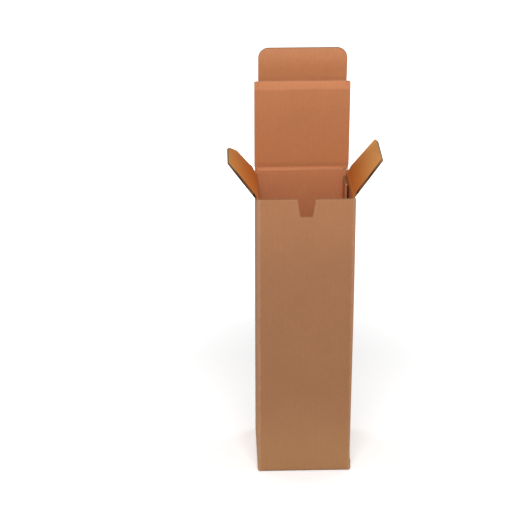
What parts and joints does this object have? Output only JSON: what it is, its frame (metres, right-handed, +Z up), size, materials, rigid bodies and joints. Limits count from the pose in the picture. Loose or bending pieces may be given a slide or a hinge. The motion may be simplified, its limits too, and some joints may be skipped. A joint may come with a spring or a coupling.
{
  "type": "single-bottle shipping box",
  "caption": "Tall corrugated kraft box for one bottle, open on top, with a hinged lid and tuck flap, side dust flaps, a finger notch and an interlocking bottom.",
  "frame": {"origin": "middle of the footprint of the box, on the floor", "axes": "+Z up along the box, -Y out of the front panel with the finger notch, +X to the right seen from the front"},
  "size_m": [0.1711, 0.1076, 0.4774],
  "materials": {
    "kraft_board": "matt"
  },
  "bodies": {
    "box": {"box_body": "kraft_board"},
    "lid": {"lid_panel": "kraft_board"},
    "tuck": {"tuck_flap": "kraft_board"},
    "left_dust": {"left_dust_flap": "kraft_board"},
    "right_dust": {"right_dust_flap": "kraft_board"}
  },
  "joints": [
    {"name": "lid_fold", "type": "hinge", "parent": "box", "child": "lid", "pos_m": [0, 0.0531, 0.336], "axis": [1, 0, 0], "range_deg": [-122, 88]},
    {"name": "tuck_fold", "type": "hinge", "parent": "lid", "child": "tuck", "pos_m": [0, 0.04955, 0.43764], "axis": [1, 0, 0], "range_deg": [-125.5, 84.5]},
    {"name": "left_dust_fold", "type": "hinge", "parent": "box", "child": "left_dust", "pos_m": [-0.0531, 0, 0.33], "axis": [0, 1, 0], "range_deg": [-82.5, 127.5]},
    {"name": "right_dust_fold", "type": "hinge", "parent": "box", "child": "right_dust", "pos_m": [0.0531, 0, 0.33], "axis": [0, -1, 0], "range_deg": [-82, 128]}
  ]
}
